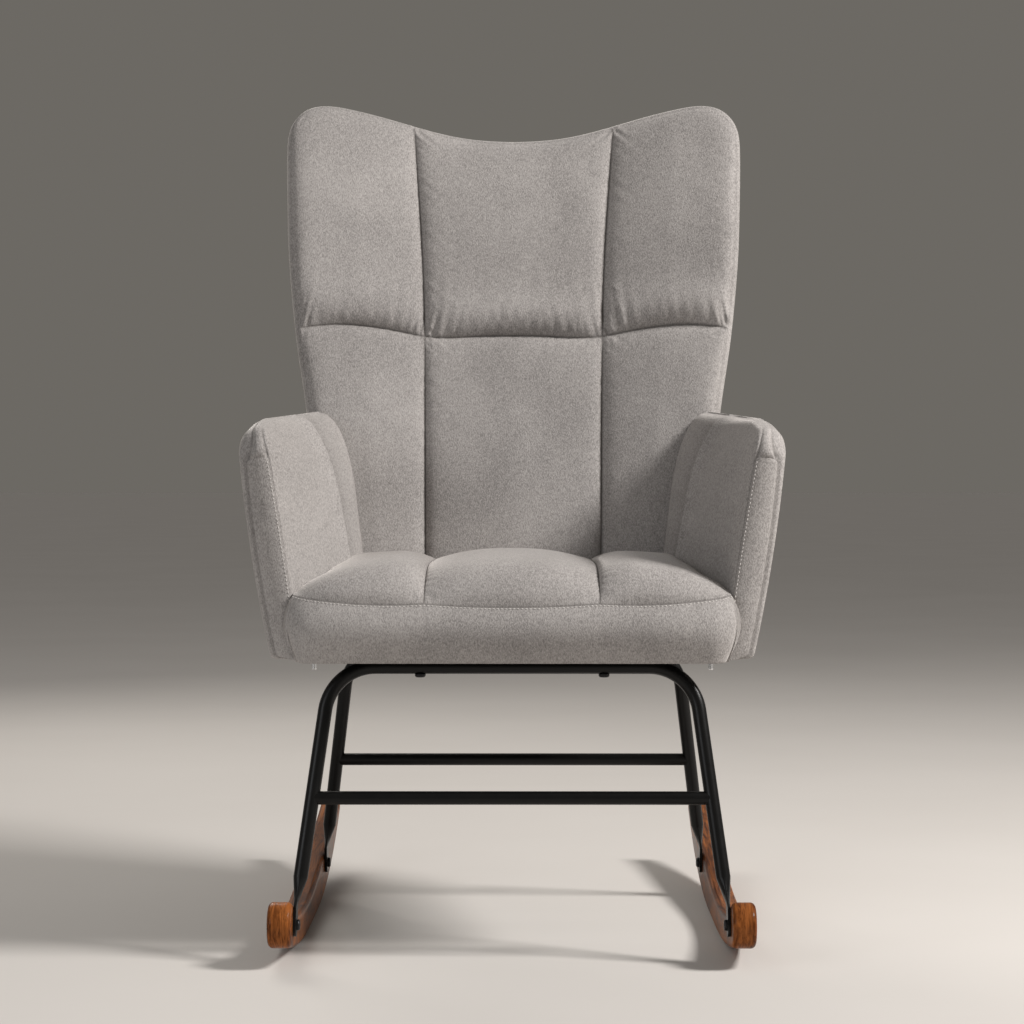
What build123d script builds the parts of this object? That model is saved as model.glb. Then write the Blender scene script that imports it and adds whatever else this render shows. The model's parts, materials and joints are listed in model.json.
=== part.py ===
from build123d import *
import os
from math import cos, radians, sin, sqrt, tan

# A high-backed upholstered rocking chair: padded seat, back and two arms on a pair of bent-tube leg
# frames, which stand on two curved wooden rockers. Millimetres; X to the sitter's left, the chair faces
# -Y, +Z up; the origin is on the floor, in the middle of the chair's box.

os.makedirs("parts", exist_ok=True)

# ---------------------------------------------------------------- rockers
rocker_front = -395.0        # tip of the curled nose
rocker_rear = 395.0          # tip of the tail
rocker_inner = 255.0         # flat inner side, from the middle of the chair
rocker_thickness = 28.0
land_front = -134.0          # level land of the running edge, on which the empty chair comes to rest
land_rear = -5.0
front_arc_radius = 1250.0    # running edge in front of the land
rear_arc_radius = 1050.0     # running edge behind the land
nose_radius = 26.5
nose_hollow_radius = 13.0    # hollow between the nose and the top edge
rocker_edge_round = 6.0
tail_round = 6.5
# height of the bar above the running edge, from behind the nose to the tail
rocker_heights = [(-332.0, 36.0), (-212.0, 37.0), (-74.0, 40.0), (8.0, 48.0), (120.0, 53.5),
                  (325.0, 30.0), (395.0, 14.0)]

# ---------------------------------------------------------------- leg frames
tube_diameter = 17.0
tube_wall = 1.8
tube_bend = 60.0             # bend radius of the centre line
leg_corner_x = 216.4         # where the leg's line meets the top bar's line
leg_spread = 0.13            # sideways run of a leg for each mm that it drops
front_bar_y = -275.0
rear_bar_y = 45.0
front_foot_y = -355.0
rear_foot_y = 113.0
foot_bolt_z = 47.0
tab_thickness = 3.5
tab_width = 27.0
tab_edge_flat = 0.05         # half the flat that is left between the tab's two edge rounds
tab_top_z = 68.0             # the flat tab ends here and the tube starts to round out
flatten_height = 32.0        # length of tube that is pressed flat
paint_gap = 0.2
crossbar_diameter = 16.0
crossbar_z = 190.5

# ---------------------------------------------------------------- seat
seat_bottom = 352.0
seat_top = 470.0
seat_front = -345.0
seat_nose_half = 266.0       # half-width of the front roll, which passes in front of the arms
seat_front_round = 42.0
seat_under_round = 16.0
least_under_round = 2.0      # on a form that is set further in than that round
seat_corner_round = 26.0
seat_arm_share = 0.7         # of an arm's thickness that the plan covers before the arm is cut out
dust_thickness = 1.0
board_thickness = 20.0
board_edge = 20.0            # from the cushion's outside to the board's edge
board_edge_behind = 10.0     # the same at the back, under the rail there
rail_thickness = 22.0
rail_height = 62.0
rear_rail_half = 165.0
front_rail_half = 205.0
front_rail_y = -310.0
front_rail_height = 44.0
dust_edge = 5.0              # from the board's edge to the dust cover's
back_overlap = 5.0           # of the cushion's outline, before it is cut back to the back

# ---------------------------------------------------------------- arms
arm_front = -300.0
arm_base_x = 247.5           # inner face at the arm's front, level with the seat's underside
arm_lean = 8.6               # outwards, degrees
arm_toe = 11.3               # towards the middle of the chair at the rear, degrees
arm_thickness = 43.0
arm_front_height = 279.0     # along the leaning face
arm_rear_height = 306.0
arm_length_low = 374.0       # along the bottom, into the back
arm_length_high = 444.0      # along the top, into the back
arm_corner_round = 38.0
arm_edge_round = 15.0
arm_panel_thickness = 18.0
arm_panel_margin = 21.0      # from the arm's outline to the panel's edge
arm_panel_drop = 66.0        # more of that under the top, where the padding is thick and round
arm_rail_height = 26.0
arm_rail_side = 4.0          # from the arm's faces to the rail's
arm_rail_margin = 24.0       # from the arm's ends to the rail's ends

# ---------------------------------------------------------------- back
back_recline = 13.8          # degrees from upright
back_foot_y = 66.0           # front face in the middle, level with the seat's underside
back_thickness = 55.0
back_wing_radius = 1020.0    # hollow curve of the front face, seen from above
back_bottom_half = 236.0
back_mid_half = 294.5
back_mid_z = 744.0
back_wide_half = 314.0
back_wide_z = 1000.0
ear_peak_x = 257.0
ear_peak_z = 1085.0
back_dip_z = 1038.0
back_edge_round = 19.0
back_board_thickness = 9.0
back_board_depth = 34.0      # from the front face to the board
back_board_margin = 26.0     # from the outline to the board's edge
back_spare = 60.0            # drawn below the seat's underside and cut off there
back_start_drop = 40.0       # the outline starts this far below the seat's underside
back_start_step = 8.0        # and this much narrower than it is there

# ---------------------------------------------------------------- covers and gaps
cover_thickness = 2.0
cover_gap = 0.3              # between a cover and what it is pulled over
soft_gap = 0.6               # between two upholstered neighbours
wood_gap = 0.3               # between foam and the wood in it

# ---------------------------------------------------------------- fasteners
bolt_diameter = 6.0
thread_gap = 0.05            # between a shank and its thread or hole, on the radius
hole_gap = 0.3               # clearance holes, on the radius
head_diameter = 13.0
head_height = 4.0
crown_share = 0.6            # of a head's height that is rounded, and that its socket is deep
socket_share = 0.5           # of a head's height, to a corner of its six-sided socket
head_gap = 1.0               # room round a sunk head or bolt end
washer_thickness = 1.2
washer_diameter = 15.0
insert_diameter = 10.0
insert_length = 18.0
rocker_bolt_length = 16.0    # of shank inside the rocker
tee_flange_diameter = 20.0
tee_flange_thickness = 1.5
tee_barrel_diameter = 9.0
tee_barrel_length = 12.0
seat_bolt_x = 110.0
nut_across_flats = 11.1
nut_height = 5.6
stud_diameter = 6.35         # a quarter-inch thread
stud_drop = 19.0             # of the stud's tip below the seat's underside
stud_tip_round = 1.5
stud_inset = 15.5            # from the arm's inner face
front_stud_y = -200.0
rear_stud_y = 5.0
plate_thickness = 3.0
plate_reach = 60.0           # inwards from the arm's inner face, under the seat board
plate_start = 78.0           # along the arm
plate_end = 322.0
plate_outer = 30.0           # outwards from the arm's inner face, under the arm's rail
plate_corner = 8.0
screw_inset = 14.0           # from the plate's inner edge
stud_depth = 20.0            # of stud inside the arm's rail
screw_diameter = 4.0
screw_head_diameter = 8.0
screw_head_height = 2.4
screw_length = 15.0
screw_shares = (0.1, 0.5, 0.9)      # along the plate
back_bolt_x = 118.0
back_bolt_low = 34.0         # above the seat's underside, along the back
back_bolt_high = 64.0
flat_depth = 0.6             # least depth of the flats under the washers

# ---------------------------------------------------------------- places worked out from the sizes
bar_z = seat_bottom - dust_thickness - tube_diameter / 2
board_top = seat_bottom + board_thickness
toe = radians(arm_toe)
lean = radians(arm_lean)
recline = radians(back_recline)
arm_plane = Plane(
    origin=(arm_base_x, arm_front, seat_bottom),
    x_dir=(-sin(toe), cos(toe), 0),
    z_dir=(cos(toe) * cos(lean), sin(toe) * cos(lean), -sin(lean)),
)
plate_plane = Plane(
    origin=(arm_base_x, arm_front, seat_bottom - plate_thickness),
    x_dir=(-sin(toe), cos(toe), 0),
    z_dir=(0, 0, 1),
)
# x across, y rearwards, z up along the back
back_section_plane = Plane(
    origin=(0, back_foot_y, seat_bottom), x_dir=(1, 0, 0), z_dir=(0, sin(recline), cos(recline))
)
# x across, y up along the back, z forwards
back_face_plane = Plane(
    origin=(0, back_foot_y, seat_bottom), x_dir=(1, 0, 0), z_dir=(0, -cos(recline), sin(recline))
)
seat_floor = Plane.XY.offset(seat_bottom)


def save(piece, name):
    """Label a finished piece and write it to a STEP file of its own."""
    piece.part.label = name
    export_step(piece.part, f"parts/{name}.step")


def save_pair(piece, name):
    """Write the piece on the +X side and its mirror image on the -X side."""
    with BuildPart() as other:
        mirror(piece.part, about=Plane.YZ)
    save(piece, f"right_{name}")
    save(other, f"left_{name}")


def running_edge(y):
    """Height of a rocker's running edge: a level land that runs into an arc at either end."""
    if y < land_front:
        return front_arc_radius - sqrt(front_arc_radius**2 - (land_front - y) ** 2)
    if y > land_rear:
        return rear_arc_radius - sqrt(rear_arc_radius**2 - (y - land_rear) ** 2)
    return 0.0


def wing_hollow(x, depth):
    """How far the back's curved layer at this depth comes forward, this far from the middle."""
    radius = back_wing_radius + depth
    return radius - sqrt(radius**2 - x**2)


def arm_x(y, inset):
    """X of a point at seat_bottom, this far outside the arm's inner face."""
    return arm_base_x - (y - arm_front) * tan(toe) + inset / cos(toe)


# ---------------------------------------------------------------- outer forms of the soft parts
def back_form(inset, margin=0.0, front=0.0, thickness=back_thickness, rounded=True):
    """The padded back: a band curved in plan, reclined, and cut to the winged outline."""
    shrink = inset + margin
    with BuildPart() as form:
        with BuildSketch(back_section_plane.offset(-back_spare)):
            with Locations((0, -back_wing_radius)):
                Circle(back_wing_radius + front + thickness - inset)
                Circle(back_wing_radius + front + inset, mode=Mode.SUBTRACT)
            Rectangle(4 * back_wide_half, 4 * back_thickness, mode=Mode.INTERSECT)
        extrude(amount=ear_peak_z)
        with BuildSketch(Plane.XZ):
            with BuildLine():
                start_z = seat_bottom - back_start_drop
                base = Line((0, start_z), (back_bottom_half - shrink - back_start_step, start_z))
                side = ThreePointArc(
                    base @ 1, (back_mid_half - shrink, back_mid_z), (back_wide_half - shrink, back_wide_z)
                )
                peak = (ear_peak_x - shrink / 3, ear_peak_z - shrink)
                ear = Spline(side @ 1, peak, tangents=[side % 1, (-1, 0)])
                Spline(peak, (0, back_dip_z - shrink), tangents=[(-1, 0), (-1, 0)])
                mirror(about=Plane.YZ)
            make_face()
        extrude(amount=3 * ear_peak_x, both=True, mode=Mode.INTERSECT)
        if rounded:
            rims = form.edges().filter_by(GeomType.LINE, reverse=True)
            fillet(rims, radius=back_edge_round - inset)
        split(bisect_by=seat_floor, keep=Keep.TOP)
    return form.part


def arm_form(inset, margin=0.0, base=0.0, drop=0.0, rounded=True):
    """The right arm pad: a leaning, toed-in slab, level underneath and cut back to the back."""
    depth = arm_thickness - 2 * inset
    with BuildPart() as form:
        with BuildSketch(arm_plane.offset(inset)) as outline:
            with BuildLine():
                Polyline(
                    (0, -arm_thickness),
                    (0, arm_front_height - drop),
                    (arm_length_high, arm_rear_height - drop),
                    (arm_length_low, 0),
                    (arm_length_low, -arm_thickness),
                    close=True,
                )
            make_face()
            fillet(outline.vertices().sort_by(Axis.Y)[-2:], radius=arm_corner_round)
            offset(amount=-(inset + margin))
        extrude(amount=depth)
        if rounded:
            sides = form.faces().sort_by(Axis(arm_plane.origin, arm_plane.z_dir))
            fillet(sides[0].edges() + sides[-1].edges(), radius=arm_edge_round - inset)
        split(bisect_by=seat_floor.offset(base), keep=Keep.TOP)
        add(back_form(-soft_gap - inset, rounded=False), mode=Mode.SUBTRACT)
    return form.part


def seat_form(inset, behind=None):
    """The seat cushion: a body between the arms, with a roll that passes in front of them."""
    behind = inset if behind is None else behind
    arm_middle = arm_thickness * seat_arm_share
    corner_y = arm_front + (arm_x(arm_front, arm_middle) - seat_nose_half) / tan(toe)
    body_end = back_foot_y + (seat_top - seat_bottom) * tan(recline) + back_overlap
    with BuildPart() as form:
        with BuildSketch(seat_floor) as plan:
            with BuildLine():
                Polyline(
                    (0, seat_front + inset),
                    (seat_nose_half - inset, seat_front + inset),
                    (seat_nose_half - inset, corner_y),
                    (arm_x(body_end, arm_middle), body_end),
                    (0, body_end),
                )
                mirror(about=Plane.YZ)
            make_face()
            fillet(plan.vertices().group_by(Axis.Y)[0], radius=seat_corner_round - inset)
        extrude(amount=seat_top - seat_bottom - inset)
        front_edges = form.edges().filter_by_position(Axis.Y, seat_front, corner_y - 1)
        fillet(front_edges.group_by(Axis.Z)[-1], radius=seat_front_round - inset)
        front_edges = form.edges().filter_by_position(Axis.Y, seat_front, corner_y - 1)
        fillet(front_edges.group_by(Axis.Z)[0], radius=max(seat_under_round - inset, least_under_round))
        arm_space = arm_form(-soft_gap - inset, rounded=False)
        add(arm_space, mode=Mode.SUBTRACT)
        mirror(arm_space, about=Plane.YZ, mode=Mode.SUBTRACT)
        add(back_form(-soft_gap - behind, rounded=False), mode=Mode.SUBTRACT)
    return form.part


# ---------------------------------------------------------------- rockers
def bar_top(y, height):
    """Point of a rocker's top edge above this place on its running edge."""
    return (y, running_edge(y) + height)


# the nose is a round that touches the running edge from inside
nose_y = rocker_front + nose_radius
nose_beyond = land_front - nose_y
nose_z = front_arc_radius - sqrt((front_arc_radius - nose_radius) ** 2 - nose_beyond**2)
touch_y = land_front - nose_beyond * front_arc_radius / (front_arc_radius - nose_radius)
with BuildPart() as rocker:
    with BuildSketch(Plane.YZ.offset(rocker_inner)) as side:
        with BuildLine():
            Line((land_front, 0), (land_rear, 0))
            rear_stations = (land_rear, (land_rear + rocker_rear) / 2, rocker_rear)
            rear = ThreePointArc(*[bar_top(y, 0) for y in rear_stations])
            front = ThreePointArc(*[bar_top(y, 0) for y in (land_front, (land_front + touch_y) / 2, touch_y)])
            Line(rear @ 1, bar_top(*rocker_heights[-1]))
            top = Spline([bar_top(y, height) for y, height in reversed(rocker_heights)])
            Polyline(top @ 1, (nose_y, nose_z), front @ 1)
        make_face()
        fillet(side.vertices().sort_by(Axis.X)[-2:], radius=tail_round)
        with Locations((nose_y, nose_z)):
            Circle(nose_radius)
    extrude(amount=rocker_thickness)
    front_edges = rocker.edges().filter_by(Axis.X).filter_by_position(Axis.Y, nose_y, land_front)
    fillet(front_edges.sort_by(Axis.Z)[-1], radius=nose_hollow_radius)
    flanks = rocker.faces().filter_by(Axis.X).sort_by(Axis.X)
    fillet(flanks[0].edges() + flanks[-1].edges(), radius=rocker_edge_round)
    foot_places = [(front_foot_y, foot_bolt_z), (rear_foot_y, foot_bolt_z)]
    with BuildSketch(Plane.YZ.offset(rocker_inner)):
        with Locations(foot_places):
            Circle(insert_diameter / 2 + thread_gap)
    extrude(amount=insert_length + 2, mode=Mode.SUBTRACT)
save_pair(rocker, "rocker")


# ---------------------------------------------------------------- bent-tube leg frames and crossbars
def leg_point(bar_y, foot_y, z):
    """Centre of the +X leg of a frame at this height."""
    drop = bar_z - z
    return (leg_corner_x + leg_spread * drop, bar_y + (foot_y - bar_y) * drop / (bar_z - foot_bolt_z), z)


def leg_plane(bar_y, foot_y, z):
    """Plane across the +X leg at this height, with x to the side."""
    start = Vector(*leg_point(bar_y, foot_y, bar_z))
    axis = Vector(*leg_point(bar_y, foot_y, z)) - start
    return Plane(origin=leg_point(bar_y, foot_y, z), x_dir=(1, 0, 0), z_dir=axis)


def pressed_foot(bar_y, foot_y):
    """The end of the +X leg: round at the top, pressed flat, with a rounded tab and its bolt hole."""
    tab_outer = rocker_inner - paint_gap
    neck_y = leg_point(bar_y, foot_y, tab_top_z)[1]
    with BuildPart() as foot:
        with BuildSketch(leg_plane(bar_y, foot_y, tab_top_z + flatten_height)):
            Circle(tube_diameter / 2)
        with BuildSketch(Plane.XY.offset(tab_top_z)):
            with Locations((tab_outer - tab_thickness / 2, neck_y)):
                RectangleRounded(tab_thickness, tab_width, tab_thickness / 2 - tab_edge_flat)
        loft()
        with BuildSketch(Plane.YZ.offset(tab_outer - tab_thickness)):
            with Locations((foot_y, foot_bolt_z)):
                Circle(tab_width / 2)
            Polygon(
                (foot_y - tab_width / 2, foot_bolt_z),
                (foot_y + tab_width / 2, foot_bolt_z),
                (neck_y + (tab_width - tab_thickness) / 2, tab_top_z),
                (neck_y - (tab_width - tab_thickness) / 2, tab_top_z),
                align=None,
            )
        extrude(amount=tab_thickness)
        with BuildSketch(Plane.YZ.offset(tab_outer - 2 * tab_thickness)):
            with Locations((foot_y, foot_bolt_z)):
                Circle(bolt_diameter / 2 + hole_gap)
        extrude(amount=3 * tab_thickness, mode=Mode.SUBTRACT)
    return foot.part


def leg_frame(bar_y, foot_y):
    """One tube bent to a U, pressed flat at both feet, with two bolt holes through its top bar."""
    knee = leg_point(bar_y, foot_y, bar_z)
    end = leg_point(bar_y, foot_y, tab_top_z + flatten_height)
    foot = pressed_foot(bar_y, foot_y)
    with BuildPart() as frame:
        with BuildLine() as route:
            FilletPolyline(
                (-end[0], end[1], end[2]), (-knee[0], knee[1], knee[2]), knee, end, radius=tube_bend
            )
        with BuildSketch(Plane(origin=route.line @ 0, z_dir=route.line % 0)):
            Circle(tube_diameter / 2)
            Circle(tube_diameter / 2 - tube_wall, mode=Mode.SUBTRACT)
        sweep()
        add(foot)
        mirror(foot, about=Plane.YZ)
        with BuildSketch(Plane.XY.offset(bar_z - tube_diameter)):
            with Locations((-seat_bolt_x, bar_y), (seat_bolt_x, bar_y)):
                Circle(bolt_diameter / 2 + hole_gap)
        extrude(amount=2 * tube_diameter, mode=Mode.SUBTRACT)
    return frame


def crossbar(bar_y, foot_y):
    """A straight tube between the legs of one frame, hollowed at its ends to fit them."""
    reach, y, z = leg_point(bar_y, foot_y, crossbar_z)
    with BuildPart() as leg:
        with BuildSketch(leg_plane(bar_y, foot_y, crossbar_z)):
            Circle(tube_diameter / 2)
        extrude(amount=2 * tube_diameter, both=True)
    with BuildPart() as bar:
        with BuildSketch(Plane.YZ.offset(-reach)):
            with Locations((y, z)):
                Circle(crossbar_diameter / 2)
                Circle(crossbar_diameter / 2 - tube_wall, mode=Mode.SUBTRACT)
        extrude(amount=2 * reach)
        add(leg.part, mode=Mode.SUBTRACT)
        mirror(leg.part, about=Plane.YZ, mode=Mode.SUBTRACT)
    return bar


for place, bar_y, foot_y in (("front", front_bar_y, front_foot_y), ("rear", rear_bar_y, rear_foot_y)):
    save(leg_frame(bar_y, foot_y), f"{place}_leg_frame")
    save(crossbar(bar_y, foot_y), f"{place}_crossbar")


# ---------------------------------------------------------------- fastener shapes
def pin_group(places, diameter, length):
    """Round pins, one standing on each of these planes."""
    with BuildPart() as group:
        for place in places:
            with BuildSketch(place):
                Circle(diameter / 2)
            extrude(amount=length)
    return group.part


def button_bolts(places, shank, diameter=bolt_diameter, head=head_diameter, height=head_height):
    """Button-headed bolts: the head's flat side lies on the plane and the shank follows its normal."""
    with BuildPart() as group:
        for place in places:
            with BuildSketch(place.offset(-height)):
                Circle(head / 2)
            extrude(amount=height)
        crowns = group.edges().filter_by(GeomType.CIRCLE).filter_by(
            lambda edge: any(abs((edge.arc_center - place.offset(-height).origin).length) < 0.01
                             for place in places))
        fillet(crowns, radius=height * crown_share)
        for place in places:
            with BuildSketch(place.offset(-height)):
                RegularPolygon(height * socket_share, 6)
            extrude(amount=height * crown_share, mode=Mode.SUBTRACT)
            with BuildSketch(place):
                Circle(diameter / 2)
            extrude(amount=shank)
    return group


def rings(places, outer, inner, thickness):
    """Flat washers, spacers or inserts, one on each plane."""
    with BuildPart() as group:
        for place in places:
            with BuildSketch(place):
                Circle(outer / 2)
                Circle(inner / 2, mode=Mode.SUBTRACT)
            extrude(amount=thickness)
    return group


def tee_nuts(places):
    """Tee nuts: the flange lies on the plane and the barrel runs back into the wood."""
    barrel = tee_barrel_length
    bore = bolt_diameter / 2 + thread_gap
    with BuildPart() as group:
        for place in places:
            with BuildSketch(place):
                Circle(tee_flange_diameter / 2)
            extrude(amount=tee_flange_thickness)
            with BuildSketch(place):
                Circle(tee_barrel_diameter / 2)
            extrude(amount=-barrel)
            with BuildSketch(place.offset(-barrel)):
                Circle(bore)
            extrude(amount=barrel + tee_flange_thickness, mode=Mode.SUBTRACT)
    return group


# ---------------------------------------------------------------- rocker bolts and their inserts
tab_inner = rocker_inner - paint_gap - tab_thickness
tab_faces = []
insert_faces = []
for side in (1, -1):
    for foot_y in (front_foot_y, rear_foot_y):
        tab_faces.append(Plane(origin=(side * tab_inner, foot_y, foot_bolt_z), z_dir=(side, 0, 0)))
        insert_faces.append(Plane(origin=(side * rocker_inner, foot_y, foot_bolt_z), z_dir=(side, 0, 0)))
save(button_bolts(tab_faces, rocker_bolt_length + tab_thickness), "rocker_bolts")
save(rings(insert_faces, insert_diameter, bolt_diameter + 2 * thread_gap, insert_length), "rocker_inserts")


# ---------------------------------------------------------------- places of the seat's and back's bolts
seat_bolt_places = [(x, y) for x in (-seat_bolt_x, seat_bolt_x) for y in (front_bar_y, rear_bar_y)]
seat_bolt_faces = [Plane(origin=(x, y, bar_z - tube_diameter / 2)) for x, y in seat_bolt_places]
board_faces = [Plane(origin=(x, y, board_top)) for x, y in seat_bolt_places]
# the rear rail stands just inside the seat's hollow rear face
rail_rear = soft_gap + cover_thickness + cover_gap + wood_gap + wing_hollow(rear_rail_half, 0)
rail_front_plane = back_face_plane.offset(rail_rear + rail_thickness)
# the washers sit on flats cut into the board's curved rear face
board_rear = back_board_depth + back_board_thickness
washer_depth = board_rear - flat_depth - wing_hollow(back_bolt_x + washer_diameter / 2 + head_gap, board_rear)
board_rear_plane = back_face_plane.offset(-washer_depth)
back_bolt_spots = [(x, v) for x in (-back_bolt_x, back_bolt_x) for v in (back_bolt_low, back_bolt_high)]
back_bolt_faces = [Plane(origin=board_rear_plane.from_local_coords(Vector(x, v, -washer_thickness)),
                         z_dir=back_face_plane.z_dir) for x, v in back_bolt_spots]
rail_nut_faces = [Plane(origin=rail_front_plane.from_local_coords(Vector(x, v, 0)),
                        z_dir=back_face_plane.z_dir) for x, v in back_bolt_spots]
back_bolt_shank = washer_thickness + washer_depth + rail_rear + rail_thickness + tee_flange_thickness
head_room = head_height + head_gap
back_bolt_path = pin_group([place.offset(-head_room) for place in back_bolt_faces],
                           bolt_diameter + 2 * hole_gap, head_room + back_bolt_shank + head_gap)
back_head_room = pin_group([place.offset(-head_room) for place in back_bolt_faces],
                           washer_diameter + 2 * head_gap, head_room + washer_thickness)
stud_feet = [Plane(origin=(side * arm_x(y, stud_inset), y, seat_bottom - stud_drop))
             for side in (1, -1) for y in (front_stud_y, rear_stud_y)]
tee_nut_room = pin_group(board_faces + rail_nut_faces, tee_flange_diameter + 2 * wood_gap,
                         tee_flange_thickness + head_gap)

screw_spots = [(plate_start + (plate_end - plate_start) * share, screw_inset - plate_reach)
               for share in screw_shares]
plate_under = seat_bottom - plate_thickness
screw_places = []
for x, y in screw_spots:
    spot = plate_plane.from_local_coords(Vector(x, -y, 0))
    screw_places += [Plane(origin=(side * spot.X, spot.Y, plate_under)) for side in (1, -1)]


# ---------------------------------------------------------------- seat
def board_block(grow):
    """Plywood board, a step inside the cushion's outline all round."""
    with BuildPart() as block:
        add(seat_form(board_edge - grow, board_edge_behind - grow))
        split(bisect_by=Plane.XY.offset(board_top + grow), keep=Keep.BOTTOM)
    return block.part


def front_rail_block(grow):
    """Rail on the board that keeps the front roll up."""
    with BuildPart() as block:
        with BuildSketch(Plane.XY.offset(board_top)):
            with Locations((0, front_rail_y)):
                Rectangle(2 * (front_rail_half + grow), rail_thickness + 2 * grow)
        extrude(amount=front_rail_height + grow)
    return block.part


def rear_rail_block(grow):
    """Rail on the board, parallel to the back, which takes the back's bolts."""
    with BuildPart() as block:
        with BuildSketch(back_face_plane.offset(rail_rear - grow)):
            Rectangle(2 * (rear_rail_half + grow), 2 * (rail_height + board_thickness + grow))
        extrude(amount=rail_thickness + 2 * grow)
        split(bisect_by=Plane.XY.offset(board_top), keep=Keep.TOP)
    return block.part


inner_form = seat_form(cover_thickness + cover_gap)
with BuildPart() as seat_board:
    add(board_block(0))
    with BuildSketch(Plane.XY.offset(seat_bottom)):
        with Locations(seat_bolt_places):
            Circle(bolt_diameter / 2 + hole_gap)
    extrude(amount=board_thickness, mode=Mode.SUBTRACT)
    with BuildSketch(Plane.XY.offset(board_top)):
        with Locations(seat_bolt_places):
            Circle(tee_barrel_diameter / 2 + thread_gap)
    extrude(amount=-tee_barrel_length, mode=Mode.SUBTRACT)
    add(pin_group(screw_places, screw_diameter + 2 * thread_gap, plate_thickness + board_thickness),
        mode=Mode.SUBTRACT)
save(seat_board, "seat_board")

with BuildPart() as seat_front_rail:
    add(front_rail_block(0))
save(seat_front_rail, "seat_front_rail")

with BuildPart() as seat_rear_rail:
    add(rear_rail_block(0))
    add(back_bolt_path, mode=Mode.SUBTRACT)
    add(pin_group([face.offset(-tee_barrel_length) for face in rail_nut_faces],
                  tee_barrel_diameter + 2 * thread_gap, tee_barrel_length), mode=Mode.SUBTRACT)
    add(tee_nut_room, mode=Mode.SUBTRACT)
save(seat_rear_rail, "seat_rear_rail")

with BuildPart() as seat_foam:
    add(inner_form)
    add(board_block(wood_gap), mode=Mode.SUBTRACT)
    add(front_rail_block(wood_gap), mode=Mode.SUBTRACT)
    add(rear_rail_block(wood_gap), mode=Mode.SUBTRACT)
    add(back_bolt_path, mode=Mode.SUBTRACT)
    add(tee_nut_room, mode=Mode.SUBTRACT)
save(seat_foam, "seat_foam")

with BuildPart() as seat_cover:
    add(seat_form(0))
    add(seat_form(cover_thickness), mode=Mode.SUBTRACT)
    add(back_bolt_path, mode=Mode.SUBTRACT)
save(seat_cover, "seat_cover")

with BuildPart() as seat_dust_cover:
    underside = seat_form(board_edge + dust_edge, board_edge_behind + dust_edge).faces().sort_by(Axis.Z)[0]
    extrude(underside, amount=dust_thickness, dir=(0, 0, -1))
    with BuildSketch(Plane.XY.offset(seat_bottom)):
        with Locations(seat_bolt_places):
            Circle(bolt_diameter / 2 + hole_gap)
    extrude(amount=-dust_thickness, mode=Mode.SUBTRACT)
    with BuildSketch(plate_plane):
        with Locations(((plate_start + plate_end) / 2, 0)):
            Rectangle(plate_end - plate_start + 2 * soft_gap, 2 * (plate_reach + soft_gap))
    cut = extrude(amount=plate_thickness, mode=Mode.SUBTRACT)
    mirror(cut, about=Plane.YZ, mode=Mode.SUBTRACT)
save(seat_dust_cover, "seat_dust_cover")

save(button_bolts(seat_bolt_faces, tube_diameter + dust_thickness + board_thickness + tee_flange_thickness),
     "seat_bolts")
save(tee_nuts(board_faces), "seat_tee_nuts")


# ---------------------------------------------------------------- arms
def arm_rail_block(grow):
    """Timber rail along the bottom of the right arm, which takes the arm's studs."""
    with BuildPart() as block:
        add(arm_form(arm_rail_side - grow, margin=arm_rail_margin - arm_rail_side, rounded=False))
        split(bisect_by=seat_floor.offset(arm_rail_height + grow), keep=Keep.BOTTOM)
    return block.part


def arm_panel_block(grow):
    """Plywood panel that stands on the rail in the middle of the right arm."""
    side = (arm_thickness - arm_panel_thickness) / 2
    return arm_form(side - grow, margin=arm_panel_margin - side, base=arm_rail_height, drop=arm_panel_drop,
                    rounded=False)


stud_holes = pin_group(stud_feet, stud_diameter + 2 * thread_gap, stud_drop + stud_depth)
with BuildPart() as arm_rail:
    add(arm_rail_block(0))
    add(stud_holes, mode=Mode.SUBTRACT)
save_pair(arm_rail, "arm_rail")

with BuildPart() as arm_panel:
    add(arm_panel_block(0))
save_pair(arm_panel, "arm_panel")

with BuildPart() as arm_foam:
    add(arm_form(cover_thickness + cover_gap))
    add(arm_rail_block(wood_gap), mode=Mode.SUBTRACT)
    add(arm_panel_block(wood_gap), mode=Mode.SUBTRACT)
save_pair(arm_foam, "arm_foam")

with BuildPart() as arm_cover:
    add(arm_form(0))
    add(arm_form(cover_thickness), mode=Mode.SUBTRACT)
save_pair(arm_cover, "arm_cover")

with BuildPart() as arm_plate:
    with BuildSketch(plate_plane):
        with Locations(((plate_start + plate_end) / 2, (plate_outer - plate_reach) / -2)):
            RectangleRounded(plate_end - plate_start, plate_reach + plate_outer, plate_corner)
        with Locations([(x, -y) for x, y in screw_spots]):
            Circle(screw_diameter / 2 + hole_gap, mode=Mode.SUBTRACT)
    extrude(amount=plate_thickness)
    add(pin_group(stud_feet, stud_diameter + 2 * hole_gap, plate_thickness + stud_drop),
        mode=Mode.SUBTRACT)
save_pair(arm_plate, "arm_plate")

nut_top = stud_drop - plate_thickness - washer_thickness      # from the stud's tip
with BuildPart() as arm_studs:
    for foot in stud_feet:
        with BuildSketch(foot):
            Circle(stud_diameter / 2)
        extrude(amount=stud_drop + stud_depth - head_gap)
    fillet(arm_studs.faces().group_by(Axis.Z)[0].edges(), radius=stud_tip_round)
save(arm_studs, "arm_studs")

with BuildPart() as arm_nuts:
    for foot in stud_feet:
        with BuildSketch(foot.offset(nut_top - nut_height)):
            RegularPolygon(nut_across_flats / 2, 6, major_radius=False)
            Circle(stud_diameter / 2 + thread_gap, mode=Mode.SUBTRACT)
        extrude(amount=nut_height)
save(arm_nuts, "arm_nuts")
save(rings([foot.offset(nut_top) for foot in stud_feet], washer_diameter,
           stud_diameter + 2 * hole_gap, washer_thickness), "arm_washers")

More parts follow.
